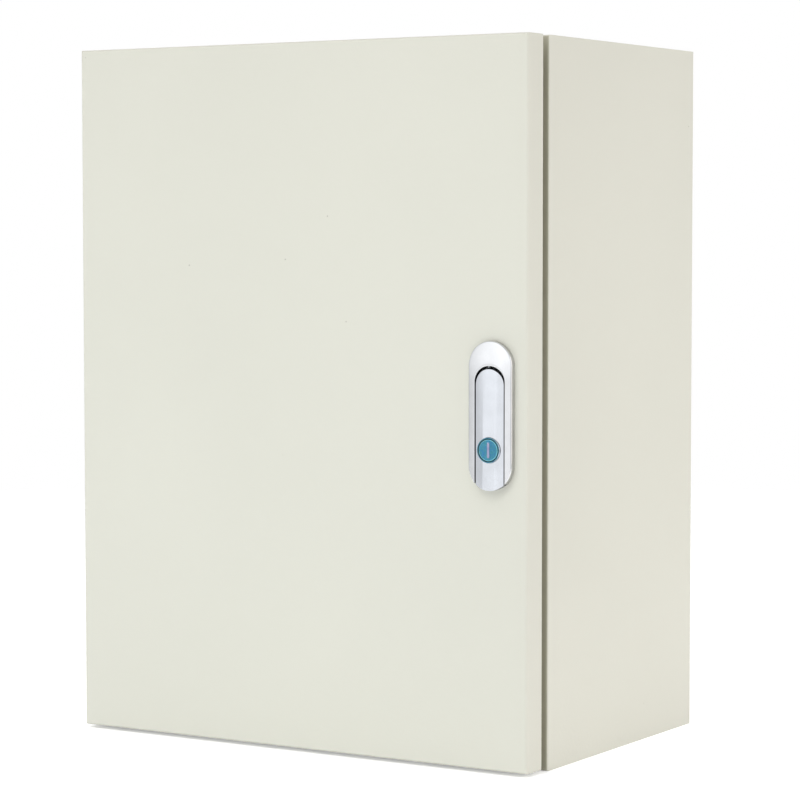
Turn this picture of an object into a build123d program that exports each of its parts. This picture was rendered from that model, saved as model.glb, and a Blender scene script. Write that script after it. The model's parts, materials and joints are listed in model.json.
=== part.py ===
from build123d import *
import math
import os

os.makedirs("parts", exist_ok=True)

# Steel wall enclosure with a hinged door and a lift-lever lock.
# X runs to the right seen from the front, Y into the wall, Z up.
# The origin is the middle of the four wall fixing holes, on the wall.
# Every "_d" value is a distance in front of the wall, in mm.

# Box
width = 300.0
height = 400.0
depth = 200.0
sheet = 1.2
edge_r = 1.5

# Front rim of the body
door_fold = 16.8
door_gap = 6.8
rim_r = 1.4
rim_inset = 6.0
hinge_flange = 30.0
lip_height = 13.6
door_foot_gap = 2.0

# Wall fixing and mounting plate
fix_in = 25.0
fix_r = 4.5
plate_margin = 32.0
plate_t = 2.0
plate_fold = 8.0
plate_corner = 3.0
stud_in = 13.0
standoff = 18.0
standoff_r = 6.0
stud_r = 3.0
stud_length = 14.0
stud_play = 0.3
plate_slot = 12.0
m6_across = 10.0
m6_height = 5.0
m6_washer_r = 6.0
m6_washer_t = 1.6
thread_fit = 0.03

# Cable entry in the bottom
gland_side = 48.0
gland_back = 28.0
gland_front = 38.0
gland_lap = 12.0
gland_t = 1.5
gland_seal_t = 2.0
gland_screw_r = 2.5
gland_head_r = 4.6
gland_head_h = 2.6

# Earth studs
earth_r = 3.0
earth_length = 15.0
earth_back = 30.0
earth_up = 50.0
door_earth_in = 25.0
door_earth_length = 12.0

# Hinges, hidden inside the fold of the door
hinge_in = 7.0
hinge_back = 7.5
hinge_end = 70.0
knuckle = 24.0
knuckle_r = 3.8
pin_r = 2.0
pin_fit = 0.05
pin_seat = 0.02
pin_head_r = 3.2
pin_head_h = 1.5
pin_tail = 3.0
arm_t = 2.5
arm_reach = 14.2
arm_bend = 2.0
foot_length = 16.0
ear_t = 2.0
ear_r = 4.4
ear_gap = 0.3
web_t = 1.5
web_w = 16.0
slot_play = 0.35
clip_t = 0.8
clip_r = 3.6

# Door gasket
gasket_w = 6.0
gasket_gap = 0.3

# Lock plate and recess
lock_in = 21.2
lock_z = -4.7
lock_w = 26.8
lock_h = 80.8
lock_proud = 4.4
crown_drop = 1.0
plate_edge_r = 0.6
recess_half = 9.0
recess_depth = 3.5
recess_foot = 10.9
recess_wall = 1.5
tip_floor = 1.0
head_pocket = 7.4
cutout_play = 0.15
neck_r = 8.0
neck_past = 5.3
spindle_in = 22.0

# Lever
lever_play = 0.3
lever_head_drop = 1.8
lever_facet = 4.9
lever_facet_drop = 0.9
pivot_depth = 1.0
lever_pin_r = 1.0
lever_pin_length = 4.4

# Spindle and cam
stem_r = 3.0
stem_front = 2.35
groove_r = 1.9
groove_play = 0.15
pin_reach = 0.3
collar_r = 6.0
collar_t = 1.6
axial_play = 0.2
shaft_r = 4.0
shaft_fit = 0.05
square = 6.0
cam_t = 3.0
cam_gap = 0.8
cam_hub_r = 8.0
cam_half = 6.5
cam_reach = 17.0
cam_fit = 0.05
tail_r = 2.5
tail_length = 5.0
m5_across = 8.0
m5_height = 3.5
m5_washer_r = 5.5
m5_washer_t = 1.0

# Lock bracket and its nut
bracket_t = 1.5
bracket_half = 9.0
bracket_gap = 0.3
bracket_end = 5.0
lock_nut_across = 19.0
lock_nut_t = 4.0

# Push button, key plug and their springs
button_up = 22.0
button_r = 6.9
button_proud = 0.8
button_fit = 0.08
button_head = 5.0
button_chamfer = 0.5
button_stem_r = 4.5
button_tail_gap = 3.0
ledge_t = 0.8
ledge_play = 0.1
window_play = 1.0
plug_face_r = 5.9
plug_face_t = 1.5
plug_r = 3.4
plug_fit = 0.04
key_w = 1.3
key_h = 8.6
key_depth = 8.0
spring_wire = 0.25
spring_mean_r = 5.7
leaf_t = 0.4
leaf_w = 5.0
leaf_l = 11.0
leaf_rise = 2.0
leaf_gap = 0.1
leaf_room = 0.5

# Places worked out from the sizes above
half_w = width / 2
half_h = height / 2
door_back_d = depth - door_fold
skin_d = depth - sheet
rim_d = door_back_d - door_gap
lip_d = rim_d + lip_height
door_h = height - door_foot_gap
door_z = door_foot_gap / 2
fix_x = width - 2 * fix_in
fix_z = height - 2 * fix_in
plate_w = width - 2 * plate_margin
plate_h = height - 2 * plate_margin
stud_x = plate_w - 2 * stud_in
stud_z = plate_h - 2 * stud_in
gland_w = width - 2 * (gland_side + gland_lap)
gland_long = rim_d - gland_back - gland_front - 2 * gland_lap
gland_d = (gland_back + rim_d - gland_front) / 2
earth_d = rim_d - earth_back
earth_z = -half_h + earth_up
open_left = -half_w + hinge_flange
open_right = half_w - rim_inset
open_half_h = half_h - rim_inset
open_w = open_right - open_left
open_x = (open_right + open_left) / 2
door_earth_x = open_left + door_earth_in
hinge_x = -half_w + hinge_in
hinge_d = depth - hinge_back
hinge_z = half_h - hinge_end
lock_x = half_w - lock_in
plate_foot_z = lock_z - lock_h / 2
spindle_z = lock_z + lock_h / 2 - spindle_in
button_z = plate_foot_z + button_up
lock_face_d = depth + lock_proud
floor_d = depth - recess_depth
floor_back_d = floor_d - recess_wall
pocket_d = depth - head_pocket
pocket_back_d = pocket_d - recess_wall
recess_foot_z = plate_foot_z + recess_foot
lever_back_d = floor_d + lever_play
tip_back_d = depth + tip_floor + lever_play
pivot_d = depth - pivot_depth
web_d = pocket_back_d - bracket_gap
neck_end_d = web_d - bracket_t - lock_nut_t - neck_past
cam_d = rim_d - sheet - cam_gap - cam_t
button_face_d = lock_face_d + button_proud
button_back_d = button_face_d - button_head
pocket_half = stem_r + lever_play
button_tail_d = web_d + button_tail_gap
hinges = (("upper", hinge_z), ("lower", -hinge_z))


def front(d):
    """Plane parallel to the wall at distance d in front of it."""
    return Plane.XZ.offset(d)


def save(piece, name):
    """Label one finished piece and write its file."""
    piece.part.label = name
    export_step(piece.part, f"parts/{name}.step")


# Body: one strip folded round four sides, with a rolled front rim and a rain lip
with BuildPart() as cavity:
    with BuildSketch(Plane.XZ):
        Rectangle(width - 2 * sheet, height - 2 * sheet)
    extrude(amount=rim_d - sheet)
    fillet(cavity.faces().sort_by(Axis.Y)[0].edges(), rim_r - sheet)

with BuildPart() as body_wrap:
    with BuildSketch(Plane.XZ):
        Rectangle(width, height)
    extrude(amount=rim_d)
    fillet(body_wrap.faces().sort_by(Axis.Y)[0].edges(), rim_r)
    add(cavity.part, mode=Mode.SUBTRACT)
    with BuildSketch(front(rim_d - sheet)):
        with Locations((open_x, 0)):
            Rectangle(open_w, 2 * open_half_h)
    extrude(amount=lip_height + sheet)
    with BuildSketch(front(rim_d - 2 * sheet)):
        with Locations((open_x, 0)):
            Rectangle(open_w - 2 * sheet, 2 * (open_half_h - sheet))
    extrude(amount=lip_height + 3 * sheet, mode=Mode.SUBTRACT)
    # slots in the hinge flange for the two hinge arms
    with BuildSketch(front(rim_d - 2 * sheet)):
        with Locations(*[(hinge_x + arm_reach, z) for _, z in hinges]):
            Rectangle(arm_t + 2 * slot_play, knuckle + 2 * slot_play)
    extrude(amount=3 * sheet, mode=Mode.SUBTRACT)
    # cable entry and its screw holes through the bottom
    with BuildSketch(Plane.XY.offset(-half_h)):
        with Locations((0, -gland_d)):
            Rectangle(gland_w, gland_long)
            with GridLocations(gland_w + gland_lap, gland_long + gland_lap, 2, 2):
                Circle(gland_screw_r + thread_fit)
            with GridLocations(0.0, gland_long + gland_lap, 1, 2):
                Circle(gland_screw_r + thread_fit)
    extrude(amount=sheet, mode=Mode.SUBTRACT)
save(body_wrap, "body_wrap")

# Back sheet, welded into the wrap, with the four wall fixing holes
with BuildPart() as back_panel:
    with BuildSketch(Plane.XZ):
        Rectangle(width - 2 * sheet, height - 2 * sheet)
        with GridLocations(fix_x, fix_z, 2, 2):
            Circle(fix_r, mode=Mode.SUBTRACT)
    extrude(amount=sheet)
save(back_panel, "back_panel")

# Four shouldered studs welded to the back, which carry the mounting plate
with BuildPart() as plate_studs:
    with BuildSketch(front(sheet)):
        with GridLocations(stud_x, stud_z, 2, 2):
            Circle(standoff_r)
    extrude(amount=standoff)
    with BuildSketch(front(sheet + standoff)):
        with GridLocations(stud_x, stud_z, 2, 2):
            Circle(stud_r)
    extrude(amount=stud_length)
save(plate_studs, "plate_studs")

# Mounting plate with folded long edges
plate_back_d = sheet + standoff
with BuildPart() as mounting_plate:
    with BuildSketch(front(plate_back_d)):
        RectangleRounded(plate_w, plate_h, plate_corner)
        with GridLocations(stud_x, stud_z, 2, 2):
            SlotOverall(plate_slot, 2 * (stud_r + stud_play), rotation=90, mode=Mode.SUBTRACT)
    extrude(amount=plate_t)
    with BuildSketch(front(plate_back_d)):
        with GridLocations(plate_w - plate_t, 0, 2, 1):
            Rectangle(plate_t, plate_h - 2 * plate_corner)
    extrude(amount=-plate_fold)
save(mounting_plate, "mounting_plate")

plate_front_d = plate_back_d + plate_t
with BuildPart() as plate_washers:
    with BuildSketch(front(plate_front_d)):
        with GridLocations(stud_x, stud_z, 2, 2):
            Circle(m6_washer_r + stud_r)
            Circle(stud_r + thread_fit, mode=Mode.SUBTRACT)
    extrude(amount=m6_washer_t)
save(plate_washers, "plate_washers")

with BuildPart() as plate_nuts:
    with BuildSketch(front(plate_front_d + m6_washer_t)):
        with GridLocations(stud_x, stud_z, 2, 2):
            RegularPolygon(m6_across / 2, 6, major_radius=False)
            Circle(stud_r + thread_fit, mode=Mode.SUBTRACT)
    extrude(amount=m6_height)
save(plate_nuts, "plate_nuts")

# Gland plate over the cable entry, with its seal and screws, inside the box
gland_z = -half_h + sheet
with BuildPart() as gland_seal:
    with BuildSketch(Plane.XY.offset(gland_z)):
        with Locations((0, -gland_d)):
            Rectangle(gland_w + 2 * gland_lap, gland_long + 2 * gland_lap)
            Rectangle(gland_w, gland_long, mode=Mode.SUBTRACT)
            with GridLocations(gland_w + gland_lap, gland_long + gland_lap, 2, 2):
                Circle(gland_screw_r + thread_fit, mode=Mode.SUBTRACT)
            with GridLocations(0.0, gland_long + gland_lap, 1, 2):
                Circle(gland_screw_r + thread_fit, mode=Mode.SUBTRACT)
    extrude(amount=gland_seal_t)
save(gland_seal, "gland_seal")

gland_plate_z = gland_z + gland_seal_t
with BuildPart() as gland_plate:
    with BuildSketch(Plane.XY.offset(gland_plate_z)):
        with Locations((0, -gland_d)):
            Rectangle(gland_w + 2 * gland_lap, gland_long + 2 * gland_lap)
            with GridLocations(gland_w + gland_lap, gland_long + gland_lap, 2, 2):
                Circle(gland_screw_r + thread_fit, mode=Mode.SUBTRACT)
            with GridLocations(0.0, gland_long + gland_lap, 1, 2):
                Circle(gland_screw_r + thread_fit, mode=Mode.SUBTRACT)
    extrude(amount=gland_t)
save(gland_plate, "gland_plate")

gland_head_z = gland_plate_z + gland_t
with BuildPart() as gland_screws:
    for pattern in ((gland_w + gland_lap, 2), (0.0, 1)):
        with BuildSketch(Plane.XY.offset(-half_h)):
            with Locations((0, -gland_d)):
                with GridLocations(pattern[0], gland_long + gland_lap, pattern[1], 2):
                    Circle(gland_screw_r)
        extrude(amount=gland_head_z + half_h)
        with BuildSketch(Plane.XY.offset(gland_head_z)):
            with Locations((0, -gland_d)):
                with GridLocations(pattern[0], gland_long + gland_lap, pattern[1], 2):
                    Circle(gland_head_r)
        extrude(amount=gland_head_h)
save(gland_screws, "gland_screws")

# Earth stud on the left wall, with its nut and washer
wall_x = -half_w + sheet
with BuildPart() as earth_stud:
    with BuildSketch(Plane.YZ.offset(wall_x)):
        with Locations((-earth_d, earth_z)):
            Circle(earth_r)
    extrude(amount=earth_length)
save(earth_stud, "earth_stud")

with BuildPart() as earth_washer:
    with BuildSketch(Plane.YZ.offset(wall_x)):
        with Locations((-earth_d, earth_z)):
            Circle(m6_washer_r + earth_r)
            Circle(earth_r + thread_fit, mode=Mode.SUBTRACT)
    extrude(amount=m6_washer_t)
save(earth_washer, "earth_washer")

with BuildPart() as earth_nut:
    with BuildSketch(Plane.YZ.offset(wall_x + m6_washer_t)):
        with Locations((-earth_d, earth_z)):
            RegularPolygon(m6_across / 2, 6, major_radius=False)
            Circle(earth_r + thread_fit, mode=Mode.SUBTRACT)
    extrude(amount=m6_height)
save(earth_nut, "earth_nut")

# Door: a shallow folded pan with the cut-out for the lock
with BuildPart() as door_pan:
    with BuildSketch(front(door_back_d)):
        with Locations((0, door_z)):
            Rectangle(width, door_h)
    extrude(amount=door_fold)
    fillet(door_pan.faces().sort_by(Axis.Y)[0].edges(), edge_r)
    with BuildSketch(front(door_back_d)):
        with Locations((0, door_z)):
            Rectangle(width - 2 * sheet, door_h - 2 * sheet)
    extrude(amount=door_fold - sheet, mode=Mode.SUBTRACT)
    cut_half = recess_half + recess_wall + cutout_play
    cut_foot_z = recess_foot_z - recess_wall - cutout_play
    with BuildSketch(front(skin_d)):
        with Locations((lock_x, (spindle_z + cut_foot_z) / 2)):
            Rectangle(2 * cut_half, spindle_z - cut_foot_z)
        with Locations((lock_x, spindle_z)):
            Circle(cut_half)
    extrude(amount=sheet, mode=Mode.SUBTRACT)
save(door_pan, "door_pan")

# Foam gasket on the inside of the door, over the rain lip
gasket_x = open_x
gasket_mid_w = open_w - sheet
gasket_mid_h = 2 * open_half_h - sheet
with BuildPart() as door_gasket:
    with BuildSketch(front(lip_d + gasket_gap)):
        with Locations((gasket_x, 0)):
            RectangleRounded(gasket_mid_w + gasket_w, gasket_mid_h + gasket_w, gasket_w / 2)
            Rectangle(gasket_mid_w - gasket_w, gasket_mid_h - gasket_w, mode=Mode.SUBTRACT)
    extrude(amount=skin_d - lip_d - gasket_gap)
save(door_gasket, "door_gasket")

# Earth stud of the door, with its nut
with BuildPart() as door_earth_stud:
    with BuildSketch(front(skin_d)):
        with Locations((door_earth_x, earth_z)):
            Circle(earth_r)
    extrude(amount=-door_earth_length)
save(door_earth_stud, "door_earth_stud")

with BuildPart() as door_earth_nut:
    with BuildSketch(front(skin_d)):
        with Locations((door_earth_x, earth_z)):
            RegularPolygon(m6_across / 2, 6, major_radius=False)
            Circle(earth_r + thread_fit, mode=Mode.SUBTRACT)
    extrude(amount=-m6_height)
save(door_earth_nut, "door_earth_nut")

# Hinges: each has a leaf on the body, a leaf on the door, a pin and a clip
foot_y = -(rim_d - sheet)
for name, z in hinges:
    with BuildPart() as body_leaf:
        # the arm leaves the knuckle sideways and passes through the flange to its foot
        with BuildSketch(Plane.XY.offset(z - knuckle / 2)):
            with BuildLine():
                arm_x = hinge_x + arm_reach + arm_t / 2
                arm_y = -hinge_d - arm_t / 2
                toe_y = foot_y + arm_t
                FilletPolyline(
                    (hinge_x, arm_y),
                    (arm_x, arm_y),
                    (arm_x, toe_y),
                    (arm_x - foot_length, toe_y),
                    radius=arm_bend + arm_t,
                )
                Line((arm_x - foot_length, toe_y), (arm_x - foot_length, foot_y))
                FilletPolyline(
                    (arm_x - foot_length, foot_y),
                    (arm_x - arm_t, foot_y),
                    (arm_x - arm_t, arm_y + arm_t),
                    (hinge_x, arm_y + arm_t),
                    radius=slot_play / 2,
                )
                Line((hinge_x, arm_y + arm_t), (hinge_x, arm_y))
            make_face()
            with Locations((hinge_x, -hinge_d)):
                Circle(knuckle_r)
                Circle(pin_r + pin_fit, mode=Mode.SUBTRACT)
        extrude(amount=knuckle)
    save(body_leaf, f"hinge_leaf_body_{name}")

    ear_z = knuckle / 2 + ear_gap
    with BuildPart() as door_leaf:
        for low in (z + ear_z, z - ear_z - ear_t):
            with BuildSketch(Plane.XY.offset(low)):
                with Locations((hinge_x, -(hinge_d + skin_d) / 2)):
                    Rectangle(2 * ear_r, skin_d - hinge_d)
                with Locations((hinge_x, -hinge_d)):
                    Circle(ear_r)
                    Circle(pin_r + pin_seat, mode=Mode.SUBTRACT)
            extrude(amount=ear_t)
        with BuildSketch(front(skin_d - web_t)):
            with Locations((hinge_x - ear_r + web_w / 2, z)):
                Rectangle(web_w, 2 * (ear_z + ear_t))
        extrude(amount=web_t)
    save(door_leaf, f"hinge_leaf_door_{name}")

    with BuildPart() as hinge_pin:
        with BuildSketch(Plane.XY.offset(z - ear_z - ear_t - pin_tail)):
            with Locations((hinge_x, -hinge_d)):
                Circle(pin_r)
        extrude(amount=2 * (ear_z + ear_t) + pin_tail)
        with BuildSketch(Plane.XY.offset(z + ear_z + ear_t)):
            with Locations((hinge_x, -hinge_d)):
                Circle(pin_head_r)
        extrude(amount=pin_head_h)
        fillet(hinge_pin.edges().filter_by(GeomType.CIRCLE).sort_by(Axis.Z)[-1], pin_head_h / 3)
    save(hinge_pin, f"hinge_pin_{name}")

    with BuildPart() as hinge_clip:
        with BuildSketch(Plane.XY.offset(z - ear_z - ear_t - clip_t)):
            with Locations((hinge_x, -hinge_d)):
                Circle(clip_r)
                Circle(pin_r + pin_seat, mode=Mode.SUBTRACT)
            with Locations((hinge_x + clip_r / 2, -hinge_d)):
                Rectangle(clip_r, pin_r, mode=Mode.SUBTRACT)
        extrude(amount=clip_t)
    save(hinge_clip, f"hinge_clip_{name}")

# Lock housing: a crowned plate with a recess for the lever, and a neck for the spindle
crown_r = ((lock_w / 2) ** 2 + crown_drop ** 2) / (2 * crown_drop)
with BuildPart() as crown:
    with BuildSketch(Plane.XY.offset(lock_z - lock_h)):
        with Locations((lock_x, -lock_face_d + crown_r)):
            Circle(crown_r)
    extrude(amount=2 * lock_h)

with BuildPart() as lock_housing:
    with BuildSketch(front(depth)):
        with Locations((lock_x, lock_z)):
            SlotOverall(lock_h, lock_w, rotation=90)
    extrude(amount=lock_proud)
    add(crown.part, mode=Mode.INTERSECT)
    fillet(lock_housing.faces().filter_by(GeomType.CYLINDER).sort_by(Axis.Y)[0].edges(), plate_edge_r)
    shell_half = recess_half + recess_wall
    shell_foot_z = recess_foot_z - recess_wall
    with BuildSketch(front(floor_back_d)):
        with Locations((lock_x, (spindle_z + shell_foot_z) / 2)):
            Rectangle(2 * shell_half, spindle_z - shell_foot_z)
        with Locations((lock_x, spindle_z)):
            Circle(shell_half)
    extrude(amount=depth - floor_back_d)
    with BuildSketch(front(pocket_back_d)):
        with Locations((lock_x, spindle_z)):
            Circle(shell_half)
    extrude(amount=floor_back_d - pocket_back_d)
    with BuildSketch(front(neck_end_d)):
        with Locations((lock_x, spindle_z)):
            Circle(neck_r)
    extrude(amount=pocket_back_d - neck_end_d)
    # recess for the lever, then the pocket for its head and the slot for its tip
    with BuildSketch(front(floor_d)):
        with Locations((lock_x, (spindle_z + recess_foot_z) / 2)):
            Rectangle(2 * recess_half, spindle_z - recess_foot_z)
        with Locations((lock_x, spindle_z)):
            Circle(recess_half)
    extrude(amount=lock_face_d - floor_d, mode=Mode.SUBTRACT)
    with BuildSketch(front(pocket_d)):
        with Locations((lock_x, spindle_z)):
            Circle(recess_half)
    extrude(amount=floor_d - pocket_d, mode=Mode.SUBTRACT)
    with BuildSketch(front(depth + tip_floor)):
        with Locations((lock_x, (recess_foot_z + plate_foot_z) / 2)):
            Rectangle(2 * recess_half, recess_foot_z - plate_foot_z)
    extrude(amount=lock_proud, mode=Mode.SUBTRACT)
    # bore and counterbore for the spindle, window for the button
    with BuildSketch(front(neck_end_d)):
        with Locations((lock_x, spindle_z)):
            Circle(shaft_r + shaft_fit)
    extrude(amount=pocket_d - neck_end_d, mode=Mode.SUBTRACT)
    with BuildSketch(front(pocket_d)):
        with Locations((lock_x, spindle_z)):
            Circle(collar_r + shaft_fit)
    extrude(amount=-(collar_t + 2 * axial_play), mode=Mode.SUBTRACT)
    with BuildSketch(front(floor_back_d)):
        with Locations((lock_x, button_z)):
            Circle(button_stem_r + window_play)
    extrude(amount=recess_wall, mode=Mode.SUBTRACT)
save(lock_housing, "lock_housing")

# Bridge bracket and nut that clamp the housing to the door from inside
bracket_top_z = spindle_z + shell_half + bracket_end
bracket_foot_z = shell_foot_z - bracket_end
with BuildPart() as lock_bracket:
    with BuildSketch(front(web_d - bracket_t)):
        with Locations((lock_x, (bracket_top_z + bracket_foot_z) / 2)):
            Rectangle(2 * bracket_half, bracket_top_z - bracket_foot_z)
        with Locations((lock_x, spindle_z)):
            Circle(neck_r + cutout_play, mode=Mode.SUBTRACT)
    extrude(amount=bracket_t)
    with BuildSketch(front(web_d)):
        for leg_z in (bracket_top_z - bracket_t / 2, bracket_foot_z + bracket_t / 2):
            with Locations((lock_x, leg_z)):
                Rectangle(2 * bracket_half, bracket_t)
    extrude(amount=skin_d - web_d)
    chamfer(lock_bracket.edges().filter_by(Axis.X).group_by(Axis.Y)[-1], bracket_t / 3)
save(lock_bracket, "lock_bracket")

with BuildPart() as lock_nut:
    with BuildSketch(front(web_d - bracket_t - lock_nut_t)):
        with Locations((lock_x, spindle_z)):
            RegularPolygon(lock_nut_across / 2, 6, major_radius=False)
            Circle(neck_r + thread_fit, mode=Mode.SUBTRACT)
    extrude(amount=lock_nut_t)
save(lock_nut, "lock_nut")

# Bowed leaf spring on the floor of the recess, which throws the lever out
leaf_z = (spindle_z - pocket_half + button_z + button_r + button_fit) / 2
with BuildPart() as lever_spring:
    with BuildSketch(Plane.YZ.offset(lock_x - leaf_w / 2)):
        with BuildLine():
            foot = leaf_l / 2
            toe = foot - 2 * leaf_t
            ThreePointArc(
                (-floor_d, leaf_z - foot),
                (-(floor_d + leaf_rise + leaf_t), leaf_z),
                (-floor_d, leaf_z + foot),
            )
            Line((-floor_d, leaf_z + foot), (-floor_d, leaf_z + toe))
            ThreePointArc(
                (-floor_d, leaf_z + toe),
                (-(floor_d + leaf_rise), leaf_z),
                (-floor_d, leaf_z - toe),
            )
            Line((-floor_d, leaf_z - toe), (-floor_d, leaf_z - foot))
        make_face()
    extrude(amount=leaf_w)
save(lever_spring, "lever_spring")

# Lever: a faceted bar with a round head over the spindle and a button at its foot
lever_half = recess_half - lever_play
head_z = spindle_z - lever_head_drop
with BuildPart() as lever_form:
    with BuildSketch(Plane.XY.offset(plate_foot_z)):
        with BuildLine():
            Polyline(
                (lock_x - lever_half, -lever_back_d),
                (lock_x - lever_half, -lock_face_d + lever_facet_drop),
                (lock_x - lever_half + lever_facet, -lock_face_d),
                (lock_x + lever_half - lever_facet, -lock_face_d),
                (lock_x + lever_half, -lock_face_d + lever_facet_drop),
                (lock_x + lever_half, -lever_back_d),
                close=True,
            )
        make_face()
    extrude(amount=lock_h)

with BuildPart() as lock_lever:
    with BuildSketch(front(lever_back_d)):
        with Locations((lock_x, head_z)):
            Circle(lever_half)
        with Locations((lock_x, (head_z + plate_foot_z) / 2)):
            Rectangle(2 * lever_half, head_z - plate_foot_z)
    extrude(amount=lock_face_d - lever_back_d)
    add(lever_form.part, mode=Mode.INTERSECT)
    # the foot ends on the same arc as the plate and rides over the plate's thin floor
    with BuildSketch(front(lever_back_d)):
        with Locations((lock_x, lock_z)):
            SlotOverall(lock_h, lock_w, rotation=90)
    extrude(amount=lock_face_d - lever_back_d, mode=Mode.INTERSECT)
    with BuildSketch(front(lever_back_d)):
        with Locations((lock_x, (recess_foot_z + lever_play + plate_foot_z) / 2)):
            Rectangle(lock_w, recess_foot_z + lever_play - plate_foot_z)
    extrude(amount=tip_back_d - lever_back_d, mode=Mode.SUBTRACT)
    # bore for the button, down to a ledge for its spring
    with BuildSketch(front(lever_back_d + ledge_t)):
        with Locations((lock_x, button_z)):
            Circle(button_r + button_fit)
    extrude(amount=lock_face_d - lever_back_d, mode=Mode.SUBTRACT)
    with BuildSketch(front(lever_back_d)):
        with Locations((lock_x, button_z)):
            Circle(button_stem_r + ledge_play)
    extrude(amount=ledge_t, mode=Mode.SUBTRACT)
    # groove for the leaf spring
    with BuildSketch(front(lever_back_d)):
        with Locations((lock_x, leaf_z)):
            Rectangle(leaf_w + 2 * leaf_room, leaf_l + 2 * leaf_room)
    extrude(amount=floor_d + leaf_rise + leaf_t + leaf_gap - lever_back_d, mode=Mode.SUBTRACT)
    # pocket round the head of the spindle, and the two pin holes
    with BuildSketch(Plane.YZ.offset(lock_x - pocket_half)):
        with Locations((-pivot_d, spindle_z)):
            Circle(math.hypot(stem_r, stem_front) + lever_play)
        slot_top_z = spindle_z + stem_r + 2 * pocket_half / 3
        slot_foot_z = spindle_z - pocket_half
        with Locations((-(pivot_d + lever_back_d) / 2, (slot_top_z + slot_foot_z) / 2)):
            Rectangle(pivot_d - lever_back_d, slot_top_z - slot_foot_z)
    extrude(amount=2 * pocket_half, mode=Mode.SUBTRACT)
    pin_inner = groove_r + pin_reach
    with BuildSketch(Plane.YZ.offset(lock_x - pin_inner - lever_pin_length)):
        with Locations((-pivot_d, spindle_z)):
            Circle(lever_pin_r + pin_seat)
    extrude(amount=2 * (pin_inner + lever_pin_length), mode=Mode.SUBTRACT)
save(lock_lever, "lock_lever")

with BuildPart() as lever_pins:
    for start in (lock_x - pin_inner - lever_pin_length, lock_x + pin_inner):
        with BuildSketch(Plane.YZ.offset(start)):
            with Locations((-pivot_d, spindle_z)):
                Circle(lever_pin_r)
        extrude(amount=lever_pin_length)
save(lever_pins, "lever_pins")

# Spindle: grooved head, collar, shaft, square for the cam and a threaded tail
groove_half = lever_pin_r + groove_play
collar_front_d = pocket_d - axial_play
tail_d = cam_d - tail_length
with BuildPart() as lock_spindle:
    with BuildSketch(Plane.XY.offset(spindle_z)):
        with BuildLine():
            Polyline(
                (lock_x, -(pivot_d + stem_front)),
                (lock_x + stem_r, -(pivot_d + stem_front)),
                (lock_x + stem_r, -(pivot_d + groove_half)),
                (lock_x + groove_r, -(pivot_d + groove_half)),
                (lock_x + groove_r, -(pivot_d - groove_half)),
                (lock_x + stem_r, -(pivot_d - groove_half)),
                (lock_x + stem_r, -collar_front_d),
                (lock_x + collar_r, -collar_front_d),
                (lock_x + collar_r, -(collar_front_d - collar_t)),
                (lock_x + shaft_r, -(collar_front_d - collar_t)),
                (lock_x + shaft_r, -(cam_d + cam_t)),
                (lock_x, -(cam_d + cam_t)),
                close=True,
            )
        make_face()
    revolve(axis=Axis((lock_x, 0, spindle_z), (0, 1, 0)))
    with BuildSketch(front(cam_d)):
        with Locations((lock_x, spindle_z)):
            Rectangle(square, square)
    extrude(amount=cam_t)
    with BuildSketch(front(tail_d)):
        with Locations((lock_x, spindle_z)):
            Circle(tail_r)
    extrude(amount=tail_length)
save(lock_spindle, "lock_spindle")

# Cam, drawn unlatched: it hangs down and turns under the rim to latch
with BuildPart() as lock_cam:
    with BuildSketch(front(cam_d)):
        with Locations((lock_x, spindle_z)):
            Circle(cam_hub_r)
        with Locations((lock_x, spindle_z - cam_reach / 2)):
            Rectangle(2 * cam_half, cam_reach)
        with Locations((lock_x, spindle_z)):
            Rectangle(square + 2 * cam_fit, square + 2 * cam_fit, mode=Mode.SUBTRACT)
    extrude(amount=cam_t)
    fillet(lock_cam.edges().filter_by(Axis.Y).group_by(Axis.Z)[0], cam_half / 3)
save(lock_cam, "lock_cam")

with BuildPart() as cam_washer:
    with BuildSketch(front(cam_d - m5_washer_t)):
        with Locations((lock_x, spindle_z)):
            Circle(m5_washer_r)
            Circle(tail_r + thread_fit, mode=Mode.SUBTRACT)
    extrude(amount=m5_washer_t)
save(cam_washer, "cam_washer")

with BuildPart() as cam_nut:
    with BuildSketch(front(cam_d - m5_washer_t - m5_height)):
        with Locations((lock_x, spindle_z)):
            RegularPolygon(m5_across / 2, 6, major_radius=False)
            Circle(tail_r + thread_fit, mode=Mode.SUBTRACT)
    extrude(amount=m5_height)
save(cam_nut, "cam_nut")

# Push button, a round barrel that holds the key plug
with BuildPart() as lock_button:
    with BuildSketch(front(button_back_d)):
        with Locations((lock_x, button_z)):
            Circle(button_r)
    extrude(amount=button_head)
    with BuildSketch(front(button_tail_d)):
        with Locations((lock_x, button_z)):
            Circle(button_stem_r)
    extrude(amount=button_back_d - button_tail_d)
    with BuildSketch(front(button_tail_d)):
        with Locations((lock_x, button_z)):
            Circle(plug_r + plug_fit)
    extrude(amount=button_face_d - button_tail_d, mode=Mode.SUBTRACT)
    with BuildSketch(front(button_face_d - plug_face_t)):
        with Locations((lock_x, button_z)):
            Circle(plug_face_r + plug_fit)
    extrude(amount=plug_face_t, mode=Mode.SUBTRACT)
    chamfer(lock_button.edges().filter_by(GeomType.CIRCLE).group_by(Axis.Y)[0][-1], button_chamfer)
save(lock_button, "lock_button")

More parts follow.
